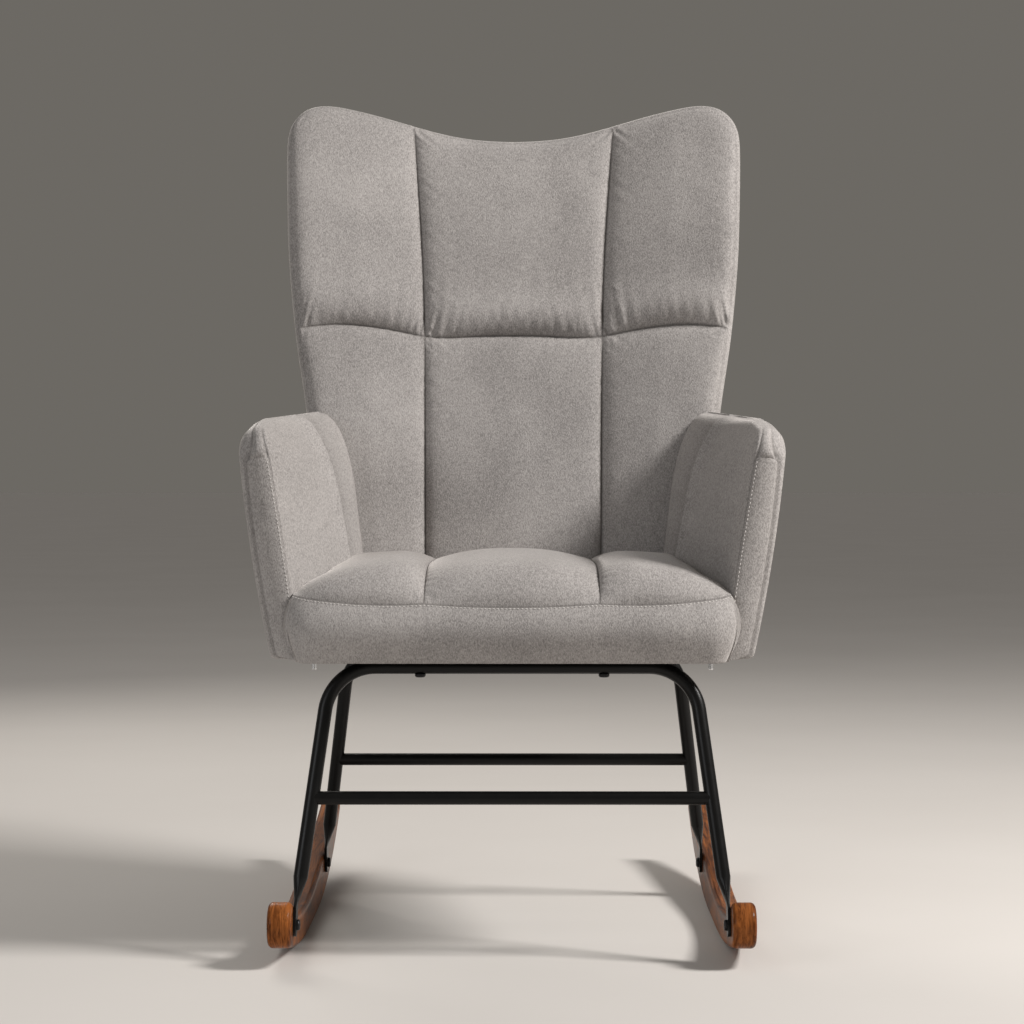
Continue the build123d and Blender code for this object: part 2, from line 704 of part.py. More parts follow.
save(button_bolts(screw_places, screw_length, screw_diameter, screw_head_diameter, screw_head_height),
     "arm_plate_screws")


# ---------------------------------------------------------------- back
def back_board_block(grow):
    """Curved plywood board inside the back, open to the bottom of it."""
    return back_form(-grow, margin=back_board_margin, front=back_board_depth,
                     thickness=back_board_thickness, rounded=False)


with BuildPart() as back_board:
    add(back_board_block(0))
    add(back_bolt_path, mode=Mode.SUBTRACT)
    add(back_head_room, mode=Mode.SUBTRACT)
save(back_board, "back_board")

with BuildPart() as back_foam:
    add(back_form(cover_thickness + cover_gap))
    add(back_board_block(wood_gap), mode=Mode.SUBTRACT)
    add(back_bolt_path, mode=Mode.SUBTRACT)
    add(back_head_room, mode=Mode.SUBTRACT)
save(back_foam, "back_foam")

with BuildPart() as back_cover:
    add(back_form(0))
    add(back_form(cover_thickness), mode=Mode.SUBTRACT)
    add(back_bolt_path, mode=Mode.SUBTRACT)
save(back_cover, "back_cover")

save(button_bolts(back_bolt_faces, back_bolt_shank), "back_bolts")
save(rings(back_bolt_faces, washer_diameter, bolt_diameter + 2 * thread_gap, washer_thickness),
     "back_washers")
save(tee_nuts(rail_nut_faces), "back_tee_nuts")
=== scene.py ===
# %% [markdown]
# # A padded rocking chair, dressed over its frame
# The wooden rockers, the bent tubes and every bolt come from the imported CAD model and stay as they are. What
# a CAD kernel can't give is the sewn part: a winged back, a seat with two channels, and two arms, all in
# brushed velvet. This lesson sews those four pads panel by panel, fills them out with formulas for how foam
# and cover lie beside a seam, and then finishes every surface.

# %% Load the frame
import json
import math

import bpy
import numpy as np
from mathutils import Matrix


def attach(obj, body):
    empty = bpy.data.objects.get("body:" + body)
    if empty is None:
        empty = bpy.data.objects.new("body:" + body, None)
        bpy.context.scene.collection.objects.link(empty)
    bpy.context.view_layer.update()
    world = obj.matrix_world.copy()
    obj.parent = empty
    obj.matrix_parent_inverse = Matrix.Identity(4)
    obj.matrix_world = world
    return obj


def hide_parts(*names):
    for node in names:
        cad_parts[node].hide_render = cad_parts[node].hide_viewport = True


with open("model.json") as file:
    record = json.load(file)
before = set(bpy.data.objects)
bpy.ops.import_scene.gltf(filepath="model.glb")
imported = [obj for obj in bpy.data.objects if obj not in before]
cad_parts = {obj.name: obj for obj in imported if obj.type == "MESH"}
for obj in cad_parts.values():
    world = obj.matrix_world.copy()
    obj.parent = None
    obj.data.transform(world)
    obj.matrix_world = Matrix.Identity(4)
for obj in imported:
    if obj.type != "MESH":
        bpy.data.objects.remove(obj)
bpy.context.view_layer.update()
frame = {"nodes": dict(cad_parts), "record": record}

# %% [markdown]
# ## Camera, floor and light
# The chair is seen from straight in front, a little above the seat and some three metres away, so a long
# lens keeps the legs upright. A strong light stands high on the right, a larger and weaker one fills from the
# left, and one high up behind picks out the nap along the top edges. The floor is plain and pale, and what
# the camera sees beyond it has the tone that the floor fades to.

# %% Camera, floor and light
camera = bpy.data.objects.new("camera", bpy.data.cameras.new("camera"))
camera.data.lens, camera.data.sensor_width = 87.9, 36.0
camera.location = (0.0125, -3.265, 0.578)
camera.rotation_euler = (math.radians(90 - 0.96), 0, math.radians(0.243))
bpy.context.scene.collection.objects.link(camera)
bpy.context.scene.camera = camera


def soft_light(name, place, aim, size, power, tint):
    """A square area light at a place, turned so that it faces a point."""
    lamp = bpy.data.lights.new(name, "AREA")
    lamp.size, lamp.energy, lamp.color = size, power, tint
    holder = bpy.data.objects.new(name, lamp)
    holder.location = place
    toward = np.subtract(aim, place)
    across = math.atan2(toward[1], toward[0]) - math.pi / 2
    holder.rotation_euler = (math.acos(-toward[2] / np.linalg.norm(toward)), 0, across)
    bpy.context.scene.collection.objects.link(holder)


soft_light("key_light", (2.7, -0.9, 2.7), aim=(0, 0, 0.6), size=0.8, power=172, tint=(1.0, 0.975, 0.95))
soft_light("fill_light", (-2.6, -2.6, 1.5), aim=(0.2, 0, 0.5), size=1.6, power=27, tint=(0.95, 0.97, 1.0))
soft_light("edge_light", (-1.2, 2.4, 2.2), aim=(0, 0, 0.8), size=1.2, power=28, tint=(1.0, 0.96, 0.9))
world = bpy.data.worlds.new("studio")
world.use_nodes = True
world_nodes, join = world.node_tree.nodes, world.node_tree.links.new
daylight = world_nodes["Background"]
daylight.inputs["Color"].default_value = (0.80, 0.77, 0.73, 1)
daylight.inputs["Strength"].default_value = 0.30
backdrop, seen, either = (world_nodes.new("ShaderNode" + kind)
                          for kind in ("Background", "LightPath", "MixShader"))
backdrop.inputs["Color"].default_value = (0.1505, 0.141, 0.126, 1)
join(seen.outputs["Is Camera Ray"], either.inputs["Fac"])
join(daylight.outputs[0], either.inputs[1])
join(backdrop.outputs[0], either.inputs[2])
join(either.outputs[0], world_nodes["World Output"].inputs["Surface"])
bpy.context.scene.world = world
bpy.context.scene.view_settings.view_transform = "Standard"

reach_out = 60.0
floor_corners = [(x * reach_out, y * reach_out, 0) for x, y in ((-1, -1), (1, -1), (1, 1), (-1, 1))]
ground = bpy.data.meshes.new("floor")
ground.from_pydata(floor_corners, [], [(0, 1, 2, 3)])
floor = bpy.data.objects.new("floor", ground)
bpy.context.scene.collection.objects.link(floor)

# %% [markdown]
# ## Lines and panels
# An upholsterer works from seam lines, so the shapes here do too. A seam is a smooth line through a few
# chosen points. A panel is a sheet stretched between four seams. A pad is two such sheets with a band
# round their rim. Everything is worked out in millimetres and becomes metres when the mesh is made. Cubes
# could be subdivided and sculpted into the same pads, but a panel keeps each seam exactly on its line.

# %% Seam lines
def crowd(count, pull=0.85):
    """Shares from 0 to 1, closer together at both ends: t less a part of one sine wave of t."""
    t = np.linspace(0, 1, count)
    return t - pull * np.sin(2 * np.pi * t) / (2 * np.pi)


def along(line, share):
    """Points at shares of a line's length: each coordinate is read off against the distance run."""
    run = np.concatenate([[0], np.cumsum(np.linalg.norm(np.diff(line, axis=0), axis=1))])
    return np.stack([np.interp(np.asarray(share) * run[-1], run, axis) for axis in line.T], -1)


def smooth_line(points, share):
    """A natural cubic spline through the points, read at shares of its length. The second derivatives at
    the points solve a three-banded system; each span is then a cubic in the distance from its start."""
    p = np.asarray(points, float)
    chord = np.concatenate([[0], np.cumsum(np.linalg.norm(np.diff(p, axis=0), axis=1))])
    step, n = np.diff(chord)[:, None], len(p)
    slope = np.diff(p, axis=0) / step
    bands, jump, k = np.eye(n), np.zeros_like(p), np.arange(1, n - 1)
    bands[k, k - 1], bands[k, k + 1] = step[:-1, 0], step[1:, 0]
    bands[k, k] = 2 * (step[:-1] + step[1:])[:, 0]
    jump[1:-1] = 6 * (slope[1:] - slope[:-1])
    bend = np.linalg.solve(bands, jump)
    at = np.linspace(0, chord[-1], 3000)
    k = np.clip(np.searchsorted(chord, at, side="right") - 1, 0, n - 2)
    a = (at - chord[k])[:, None]
    dense = (p[k] + a * (slope[k] - step[k] * (2 * bend[k] + bend[k + 1]) / 6) + a**2 * bend[k] / 2
             + a**3 * (bend[k + 1] - bend[k]) / (6 * step[k]))
    return along(dense, share)


def panel(low, high, left, right, p, q):
    """A Coons patch: the sheets ruled between low and high and between left and right are added, and the
    plane bilinear sheet of the four corners, counted twice, is taken away."""
    p, q = p[None, :, None], q[:, None, None]
    ruled = (1 - q) * low[None] + q * high[None] + (1 - p) * left[:, None] + p * right[:, None]
    return ruled - ((1 - p) * (1 - q) * low[0] + p * (1 - q) * low[-1]
                    + (1 - p) * q * high[0] + p * q * high[-1])


# %% Pads
def rim(grid):
    """The outside of a grid, once round."""
    return np.concatenate([grid[0, :-1], grid[:-1, -1], grid[-1, :0:-1], grid[:0:-1, 0]])


def quads(grid):
    """Four corner numbers for each cell of a grid of vertex numbers."""
    return np.stack([grid[:-1, :-1], grid[:-1, 1:], grid[1:, 1:], grid[1:, :-1]], -1).reshape(-1, 4)


def make_mesh(name, points, faces, **spots):
    """A smooth-shaded mesh piece from points in millimetres, turned outwards: six times its volume is the
    sum of each face's corner times its area vector, and a negative sum flips every face. Each further
    array is kept on the vertices under its name."""
    a, b, c, d = (points[faces[:, i]] for i in range(4))
    if np.einsum("ij,ij->", (a + c) / 2, np.cross(c - a, d - b)) < 0:
        faces = faces[:, ::-1]
    mesh = bpy.data.meshes.new(name)
    mesh.from_pydata((points * 0.001).tolist(), [], faces.tolist())
    for word, values in spots.items():
        mesh.attributes.new(word, "FLOAT", "POINT").data.foreach_set("value", values.astype(np.float32))
    mesh.polygons.foreach_set("use_smooth", np.ones(len(mesh.polygons), bool))
    piece = bpy.data.objects.new(name, mesh)
    bpy.context.scene.collection.objects.link(piece)
    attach(piece, "root")
    return piece


def make_pad(name, face, bands, far, seam):
    """A closed pad: the face sheet, bands of points round its rim, and the far sheet, joined in one skin.
    seam gives each of the three how far its cover is painted darker, from 0 to 1: its closeness to a seam, as
    painted shade in the seam's crease, and on the arms a painted shadow behind the tuck."""
    m, n, turns = face.shape[0], face.shape[1], len(bands)
    start = np.arange(m * n).reshape(m, n)
    middle = m * n + np.arange(turns * (2 * m + 2 * n - 4)).reshape(turns, -1)
    end = middle[-1, -1] + 1 + np.arange(m * n).reshape(m, n)
    hoops = np.concatenate([rim(start)[None], middle, rim(end)[None]])
    hoops = np.concatenate([hoops, hoops[:, :1]], 1)
    faces = np.concatenate([quads(start), quads(hoops)[:, ::-1], quads(end)[:, ::-1]])
    points = np.concatenate([face.reshape(-1, 3), bands.reshape(-1, 3), far.reshape(-1, 3)])
    piece = make_mesh(name, points, faces, seam=np.concatenate([s.ravel() for s in seam]))
    print(name, len(points), "vertices,", 2 * len(faces), "triangles")
    return piece


# %% [markdown]
# ## How padding lies beside a seam
# Close to a stitch the cover is pulled down to the foam, then it rises in a round shoulder and goes on in a
# long slow crown. Where the cover is a little longer than the seam it is sewn to, the spare length stands in
# short gathers that die out within a few centimetres. A cloth simulation under pressure finds such forms by
# itself. Here a few formulas give them, which can be tuned one by one and come out the same on every run.

# %% Shoulders and gathers
def shoulder(distance, near=7.0, wide=58.0):
    """0 on the seam and 1 far from it: two fifths rise with the near length, the rest with the wide one."""
    d = np.maximum(distance, 0)
    return 1 - 0.4 * np.exp(-d / near) - 0.6 * np.exp(-d / wide)


def gathers(place, wavelength, seed):
    """An uneven ripple along a seam, about -1 to 1: five sines of close wavelengths and random phases."""
    chance = np.random.default_rng(seed)
    waves = chance.uniform(0.7, 1.9, 5) * 2 * np.pi / wavelength
    phases, heights = chance.uniform(0, 2 * np.pi, 5), chance.uniform(0.5, 1, 5)
    return sum(h * np.sin(w * place + f) for h, w, f in zip(heights, waves, phases)) / heights.sum()


def near_seam(distance, width=1.6):
    """1 on the seam, falling to 0 within a few times the width."""
    return np.exp(-(distance / width) ** 2)


def swell_and_fade(distance, swell, fade):
    """How strong gathers are at a distance: nothing on the seam or behind it, then up within the swell
    length and away again over the fade length. Both are exponentials of the distance."""
    d = np.maximum(distance, 0)
    return np.exp(-d / fade) * (1 - np.exp(-d / swell))


# %% [markdown]
# ## The back
# On the real chair six panels are sewn into one winged sheet: a wide middle column between two tall seams,
# and one long seam across. A border strip runs round the edge. It could be modelled where it stands, but
# the panels are easier to describe flat, as they were cut: by the distance across and the distance up the
# reclined back. The recline and the wings' curve are then put on in one step.

# %% Back: lines across and up the reclined face
recline = math.radians(13.8)
back_foot_y, under_z = 66.0, 352.0
back_thickness = 55.0
wing_radius = 1020.0
back_valley, back_crown = 11.0, 22.0
rear_round, border = 4.0, 9.0


def wing(x):
    """How far the hollow back's face comes forward, this far from the middle: the depth of a circle."""
    return wing_radius - np.sqrt(wing_radius**2 - x**2)


def on_back(x, up, forward):
    """The row-frame point that is x across, up along the recline and forward of the face in the middle."""
    return np.stack([x, back_foot_y + up * math.sin(recline) - forward * math.cos(recline),
                     under_z + up * math.cos(recline) + forward * math.sin(recline)], -1)


half_outline = smooth_line([(0, 0), (120, 0), (222, 0), (236, 14), (253, 119), (270, 222), (281.5, 315),
                            (294.6, 399), (303, 467.5), (309, 536), (312, 604), (313.6, 658), (313.8, 684),
                            (311, 712), (299, 735), (285, 746.5), (257, 753.4), (229, 751.5), (173.5, 741),
                            (117.7, 727), (61.9, 716.5), (0, 713)], np.linspace(0, 1, 1200))
heading = np.gradient(half_outline, axis=0)
heading /= np.linalg.norm(heading, axis=1, keepdims=True)
outward = np.stack([heading[:, 1], -heading[:, 0]], -1)
seam_line = half_outline - border * outward
seam_line[[0, -1], 0] = 0
foot = int(np.argmin(np.hypot(seam_line[:, 0] - 226, seam_line[:, 1] - 10)))
ear = int(np.argmin(np.hypot(seam_line[:, 0] - 296, seam_line[:, 1] - 726)))
waist_out = int(np.argmin(np.abs(seam_line[foot:ear, 1] - 425.0))) + foot
top_in = int(np.argmin(np.abs(seam_line[ear:, 0] - 138.6))) + ear
bottom_in = int(np.argmin(np.abs(seam_line[:foot, 0] - 117.0)))
waist_cross = np.array([121.9, 422.4])
print("ear corner at", seam_line[ear].round(1), "waist seam ends at", seam_line[waist_out].round(1))


# %% Back: six panels
def flip(line):
    """The same line on the other half, running the other way across."""
    return (line * [-1, 1])[::-1]


columns = [crowd(56), crowd(78), crowd(56)]
rows = [crowd(96), crowd(108)]
waist_side = [waist_cross, (164.5, 429.2), (210, 433.4), (240, 433), seam_line[waist_out]]
waist_mid = [(-121.9, 422.4), (-88, 421.4), (-40, 424.4), (0, 425), (40, 424.4), (88, 421.4), waist_cross]
uprights = [smooth_line([seam_line[bottom_in], (118.4, 119.4), (120, 275), waist_cross], rows[0]),
            smooth_line([waist_cross, (125, 518), (131, 615.8), seam_line[top_in]], rows[1])]
edges = [along(seam_line[foot:waist_out + 1], rows[0]), along(seam_line[waist_out:ear + 1], rows[1])]
levels = [(along(seam_line[bottom_in:foot + 1], columns[2]), smooth_line(waist_side, columns[2])),
          (smooth_line(waist_side, columns[2]), along(seam_line[ear:top_in + 1][::-1], columns[2]))]
foot_line = np.concatenate([flip(seam_line[:bottom_in + 1])[:-1], seam_line[:bottom_in + 1]])
top_line = np.concatenate([(seam_line[top_in:] * [-1, 1])[:-1], seam_line[top_in:][::-1]])
middles = [along(foot_line, columns[1]), smooth_line(waist_mid, columns[1]), along(top_line, columns[1])]
bands_of_panels = []
for level in (0, 1):
    right = panel(*levels[level], uprights[level], edges[level], columns[2], rows[level])
    middle = panel(middles[level], middles[level + 1], uprights[level] * [-1, 1], uprights[level],
                   columns[1], rows[level])
    left = (right * [-1, 1])[:, ::-1]
    bands_of_panels.append(np.concatenate([left[:, :-1], middle, right[:, 1:]], 1))
flat_back = np.concatenate([bands_of_panels[0], bands_of_panels[1][1:]])
print("back sheet", flat_back.shape)


# %% Back: relief of the sewn face
def waist_up(x):
    """Height of the long cross seam at x."""
    return np.interp(np.abs(x), *smooth_line([(0, 425), (40, 424.4), (88, 421.4)] + waist_side,
                                             np.linspace(0, 1, 200)).T)


def upright_x(up):
    """Distance of a tall seam from the middle at a height."""
    return np.interp(up, *np.concatenate(uprights)[:, ::-1].T)


def back_relief(x, up):
    """How far the sewn face stands forward of its seams' level, and how close each point is to a seam:
    the shoulder across the nearest tall seam or edge, times the shoulder over the nearest level one, a
    bell where the upper panels hang over the long cross seam, and gathers that fade away from their seam."""
    a = np.abs(x)
    edge_x = np.interp(up, *seam_line[foot:ear, ::-1].T)
    top_up = np.interp(a, *seam_line[ear:][::-1].T)
    to_tall, to_edge = a - upright_x(up), edge_x - a
    to_waist, to_top = up - waist_up(x), top_up - up
    tall = np.minimum(np.abs(to_tall), np.where(to_tall > 0, to_edge, 1e3))
    level = np.minimum(np.abs(to_waist), np.where(to_waist > 0, to_top, np.maximum(up - border, 0)))
    crown = shoulder(tall) * shoulder(level)
    above, pulls = swell_and_fade(to_waist, 4, 20), swell_and_fade(to_waist, 9, 46)
    below, beside = swell_and_fade(-to_waist, 4, 14), swell_and_fade(np.abs(to_tall), 4, 20)
    bordering = swell_and_fade(to_edge, 5, 18)
    pucker = (6.0 * above * gathers(x + 0.25 * to_waist * np.sign(x), 14, 3)
              + 1.5 * pulls * gathers(x + 0.1 * to_waist * np.sign(x), 26, 7)
              + 1.3 * below * gathers(x, 17, 4)
              + 1.7 * beside * gathers(up + 0.9 * np.abs(to_tall), 20, 5)
              + 0.8 * bordering * gathers(up - 0.6 * to_edge, 26, 6))
    overhang = 9.0 * np.exp(-((to_waist - 26) / 30) ** 2) * shoulder(to_waist, 4, 14) * shoulder(tall)
    # close is later mixed into the cover's colour: painted shade along the seams.
    close = np.maximum(near_seam(np.abs(to_tall)), near_seam(np.abs(to_waist)))
    return back_crown * crown + overhang + pucker, close


relief, close = back_relief(flat_back[..., 0], flat_back[..., 1])
back_face = on_back(flat_back[..., 0], flat_back[..., 1], wing(flat_back[..., 0]) - back_valley + relief)
print("face relief", relief.min().round(2), relief.max().round(2))

# %% Back: border strip and rear sheet
loop = rim(flat_back)
onward = np.roll(loop, -1, 0) - np.roll(loop, 1, 0)
loop_out = np.stack([onward[:, 1], -onward[:, 0]], -1)
loop_out /= np.linalg.norm(loop_out, axis=1, keepdims=True)
front_level = wing(loop[:, 0]) - back_valley + back_relief(loop[:, 0], loop[:, 1])[0]
rear_level = wing(loop[:, 0]) - back_thickness + rear_round
share = crowd(17, 0.4)[1:-1, None]
bulge = border * (1 - np.abs(2 * share - 1) ** 2.6) ** 0.6
strip_flat = loop[None] + bulge[..., None] * loop_out[None]
strip_level = (1 - share) * front_level + share * rear_level
back_strip = on_back(strip_flat[..., 0], strip_flat[..., 1], strip_level)
inner = shoulder(np.minimum(313 - np.abs(flat_back[..., 0]), 700 - flat_back[..., 1]).clip(0), 12, 30)
inner = inner * shoulder(flat_back[..., 1], 12, 30)
back_rear = on_back(flat_back[..., 0], flat_back[..., 1],
                    wing(flat_back[..., 0]) - back_thickness + rear_round * (1 - inner))
# The last arrays paint shade: darker along the face's seams, and along the border seam at the strip's edge.
back_pad = make_pad("back_pad", back_face, back_strip, back_rear,
                    (close, np.repeat(near_seam(share * 50), len(loop), 1), 0 * close))


def back_y(x, z):
    """Y of the back's sewn face at a place seen from the front: the recline and the relief depend on each
    other, so the height along the back is corrected four times."""
    up = (z - under_z) / math.cos(recline)
    for _ in range(4):
        forward = wing(x) - back_valley + back_relief(x, up)[0]
        up = (z - under_z - forward * math.sin(recline)) / math.cos(recline)
    return back_foot_y + up * math.sin(recline) - forward * math.cos(recline)


# %% [markdown]
# ## The arms
# Each arm is a slab of foam that leans out and turns in towards the back. A narrow strip closes its front and
# runs on over the top, the inner panel rolls up to that strip, and a soft tuck divides it near the back. A
# cross-section carried along the arm gives all of that: it is square at the front, and its inner top corner
# grows into a long quarter of an ellipse towards the back. A bevelled box would keep one corner all along.

# %% Arms: sizes and the run of the slab
lean, toe = math.radians(8.6), math.radians(11.3)
arm_origin = np.array([247.5, -300.0, under_z])
arm_run = np.array([-math.sin(toe), math.cos(toe), 0])
arm_up = np.array([math.sin(lean) * math.cos(toe), math.sin(lean) * math.sin(toe), math.cos(lean)])
arm_out = np.array([math.cos(toe) * math.cos(lean), math.sin(toe) * math.cos(lean), -math.sin(lean)])
arm_thickness, arm_length, front_height, height_gain = 43.0, 392.0, 279.0, 27.0 / 444.0
tuck, front_seam, strip_width, strip_puff = 280.0, 4.0, 36, 6.5
arm_seam_width, no_seam = 1.1, 99.0
side_share, top_share = crowd(110, 0.6), crowd(26, 0.6)


def on_arm(s, up, across):
    """The row-frame point s along the right arm, up its leaning face and across its thickness."""
    return (arm_origin + np.multiply.outer(s, arm_run) + np.multiply.outer(up, arm_up)
            + np.multiply.outer(across, arm_out))


def quarter(t):
    """1 at 0 and 0 from 1 on, along a quarter circle: one less the height of a unit circle."""
    return 1 - np.sqrt(1 - (1 - np.clip(t, 0, 1)) ** 2)


# %% Arms: the cross-section
def arm_ring(s):
    """The inner side going up, the top going out, the outer side going down and the bottom coming back in,
    as (across, up). The inner side is nearly flat, then a quarter ellipse; its half-axes grow with the
    distance along to the power 0.6. The outer side swells and ends in round corners."""
    grow, nose = np.clip(s / 230, 0, 1) ** 0.6, quarter((s - front_seam) / 14)
    round_in, tall_in, low, flare = 42 * grow, 135 * grow, 10.0, 14 * grow
    round_out = (5 + 19 * (1 - nose)) * (1 - 0.6 * grow)
    rise = np.clip(s / 115, 0, 1)
    height = (front_height + height_gain * s + 11 * rise**2 * (3 - 2 * rise)
              - 34 * quarter((s - front_seam) / 34))
    angle, share = np.pi / 2 * np.linspace(0, 1, 60), np.linspace(0, 1, 40)
    swell = 1 - (2 * share - 1) ** 2
    side = arm_thickness + 2 + 2 * rise - 10 * nose
    inner = np.stack([np.concatenate([6 - 2 * swell, 6 + round_in * (1 - np.cos(angle))]),
                      np.concatenate([share * (height - tall_in),
                                      height - tall_in + tall_in * np.sin(angle)])], -1)
    outer = np.stack([np.concatenate([side - round_out * (1 - np.cos(angle[::-1])), side + 4 * swell,
                                      side - low * (1 - np.cos(angle))]),
                      np.concatenate([height - round_out + round_out * np.sin(angle[::-1]),
                                      low + 6 + share[::-1] * (height - round_out - low - 6),
                                      6 + low - low * np.sin(angle)])], -1)
    outer[:, 0] += flare * (outer[:, 1] / height) ** 2
    inner, outer = along(inner, side_share), along(outer, side_share)
    top = inner[-1] + (outer[0] - inner[-1]) * top_share[:, None]
    top[:, 1] += 2.0 * np.sin(np.pi * top_share)
    bottom = outer[-1] + (inner[0] - outer[-1]) * top_share[:, None]
    return np.concatenate([inner[:-1], top[:-1], outer[:-1], bottom[:-1]])


def arm_side(y, z):
    """X of the right arm's inner face near the seat, at a place seen from the side."""
    up = (z - under_z) / math.cos(lean) + 0.8
    across = 6 - 2 * (1 - (2 * np.clip(up / 200, 0, 1) - 1) ** 2)
    s = (y - arm_origin[1] - up * arm_up[1] - across * arm_out[1]) / arm_run[1]
    return on_arm(s, up, across)[..., 0]


# %% Arms: sections from the front seam to the back
near_rows = front_seam + (tuck - front_seam) * crowd(90, 0.75)
far_share = crowd(46, 0.8)[1:]
rings = np.stack([arm_ring(s) for s in np.concatenate([near_rows, tuck + (arm_length - tuck) * far_share])])
n_side, n_top = len(side_share) - 1, len(top_share) - 1
end = np.full(rings.shape[1], arm_length)
for _ in range(5):
    tip = on_arm(end, rings[-1, :, 1], rings[-1, :, 0])
    end += (back_y(tip[:, 0], tip[:, 2]) - 0.6 - tip[:, 1]) / arm_run[1]
runs = np.concatenate([np.repeat(near_rows[:, None], len(end), 1), tuck + far_share[:, None] * (end - tuck)])
ring_place = np.arange(rings.shape[1])
inward = np.clip(1 - (ring_place - n_side) / n_top, 0, 1) * (ring_place < n_side + n_top)
inward[-n_top:] = np.linspace(0, 1, n_top)
tuck_gap = np.abs(runs - tuck)
low_part = 1 - np.clip(rings[..., 1] / 290, 0, 1) ** 2
last = 10 * quarter((end - runs) / 36) * inward * low_part
lip = np.where(runs < tuck, -4.0 * np.exp(-(tuck_gap / 22) ** 2), 2.5 * np.exp(-tuck_gap / 22))
rings[..., 0] += last + lip * inward
print("the arm meets the back between", end.min().round(1), "and", end.max().round(1), "along it")


# %% Arms: seams, puckers and skin
def skin_normals(grid):
    """Unit normals of a grid of points: the cross product of its two gradients."""
    normal = np.cross(np.gradient(grid, axis=0), np.gradient(grid, axis=1))
    return normal / np.maximum(np.linalg.norm(normal, axis=-1, keepdims=True), 1e-9)


tube = on_arm(runs, rings[..., 1], rings[..., 0])
closed = np.concatenate([tube[:, -2:], tube, tube[:, :2]], 1)
normals = skin_normals(closed)[:, 2:-2]
if np.mean(np.sum(normals * arm_out, -1)[:, n_side + n_top + 20:2 * n_side + n_top - 20]) < 0:
    normals = -normals


def reach(column):
    """Distance of every point of the tube from one lengthwise seam, measured round its section."""
    return np.linalg.norm(tube - tube[:, column:column + 1], axis=-1)


inner_seam, outer_seam = reach(n_side), reach(n_side + n_top)
front = runs - front_seam
sides = (ring_place < n_side) | ((ring_place > n_side + n_top) & (ring_place < 2 * n_side + n_top))
front_gap = np.where(sides, front, no_seam)
top_gap = np.minimum(inner_seam, outer_seam)
seam_gap = np.minimum(top_gap, front_gap)
top_fade = 0.15 + 0.85 * np.exp(-np.maximum(runs - 18, 0) / 22)
height_place = rings[..., 1]
wrinkle = (0.5 * np.exp(-seam_gap / 9) * gathers(height_place + runs, 13, 11)
           + 0.5 * np.exp(-tuck_gap / 14) * inward * gathers(height_place, 21, 12))
wrinkle = wrinkle * (1 - np.exp(-seam_gap / 2))
dent = -0.9 * near_seam(front_gap) - 0.5 * top_fade * near_seam(top_gap)
tube = tube + normals * (wrinkle + dent)[..., None]
# tuck_shade is painted shade: a dark line on the lip's edge in front of the tuck, and a painted soft shadow
# that fades back from the tuck, on the inner side only. The front and top seams join it below as painted shade
# in their creases.
tuck_shade = np.where(runs > tuck - 0.1, 0.85 * np.exp(-tuck_gap / 38), near_seam(tuck_gap, 2.5)) * inward
tube_painted_shade = np.maximum(0.8 * near_seam(front_gap, arm_seam_width), tuck_shade)
tube_painted_shade = np.maximum(tube_painted_shade, 0.45 * top_fade * near_seam(top_gap, arm_seam_width))


def cap(ring):
    """The sheet inside one ring: its inner and outer sides are the two uprights of a Coons patch."""
    top_line, bottom_line = ring[n_side:n_side + n_top + 1], np.roll(ring, -1, 0)[-n_top - 1:][::-1]
    outer_line = ring[n_side + n_top:2 * n_side + n_top + 1][::-1]
    return panel(bottom_line, top_line, ring[:n_side + 1], outer_line, top_share, side_share)


gusset, butt = cap(tube[0]), cap(tube[-1])
across_gap = np.minimum(top_share, 1 - top_share)[None] * strip_width
puff = shoulder(across_gap, 4, 12) * shoulder(side_share * 60 + 4, 4, 12)[:, None]
gusset = gusset - strip_puff * arm_run * puff[..., None]
over_top = shoulder(across_gap[0], 4, 12) * np.exp(-(runs[:, n_side:n_side + n_top + 1] - front_seam) / 12)
gusset = gusset - arm_run * (0.7 * swell_and_fade(across_gap, 2, 7)
                             * gathers(side_share[:, None] * 250 + 0.3 * across_gap, 12, 13))[..., None]
# gusset_seam is painted shade along the front strip's two seams.
gusset_seam = np.broadcast_to(0.6 * near_seam(across_gap, arm_seam_width), gusset.shape[:2])
order = rim(np.arange(gusset.shape[0] * gusset.shape[1]).reshape(gusset.shape[:2]))
rim_points = cap(tube[0]).reshape(-1, 3)[order]
shift = int(np.argmin(np.linalg.norm(tube[0] - rim_points[0], axis=1)))
print("rim starts at ring place", shift, "of", len(ring_place), "and closes within",
      np.abs(np.roll(tube[0][::-1], shift + 1, 0) - rim_points).max().round(3))
tube[:, n_side:n_side + n_top + 1] -= strip_puff * arm_run * over_top[..., None]


# %% Arms: right and left
def arm_pad(name, side):
    """The skinned arm on one side of the chair; the left one is the right one's mirror image."""
    way = np.array([side, 1, 1])
    hoops = np.roll(tube[1:-1, ::-1], shift + 1, 1)
    return make_pad(name, gusset * way, hoops * way, butt * way,
                    (gusset_seam, np.roll(tube_painted_shade[1:-1, ::-1], shift + 1, 1), 0 * gusset_seam))


arm_pads = [arm_pad("right_arm_pad", 1), arm_pad("left_arm_pad", -1)]

# %% [markdown]
# ## The seat
# The seat is one thick cushion. Two sewn channels run from front to back and make three soft humps. A
# topstitched seam crosses the front, and below it the front strip bulges out and passes before both arms.
# One inflated box would blur the channels, so each hump is its own sheet, raised between two seams. The
# rear and side seams are read off the back and the arms, so that the cushion meets them all the way.

# %% Seat: seams
seat_rows, seat_mid, seat_wide = crowd(110, 0.55), crowd(72, 0.9), crowd(64, 0.9)


def to_back(x, z):
    """A point on the back's face, half a millimetre short of it."""
    return (x, float(back_y(np.array(x), np.array(z))) - 0.5, z)


def to_arm(y, z):
    """A point where the seat presses 2 mm into the right arm's inner face."""
    return (float(arm_side(np.array(y), np.array(z))) + 2.0, y, z)


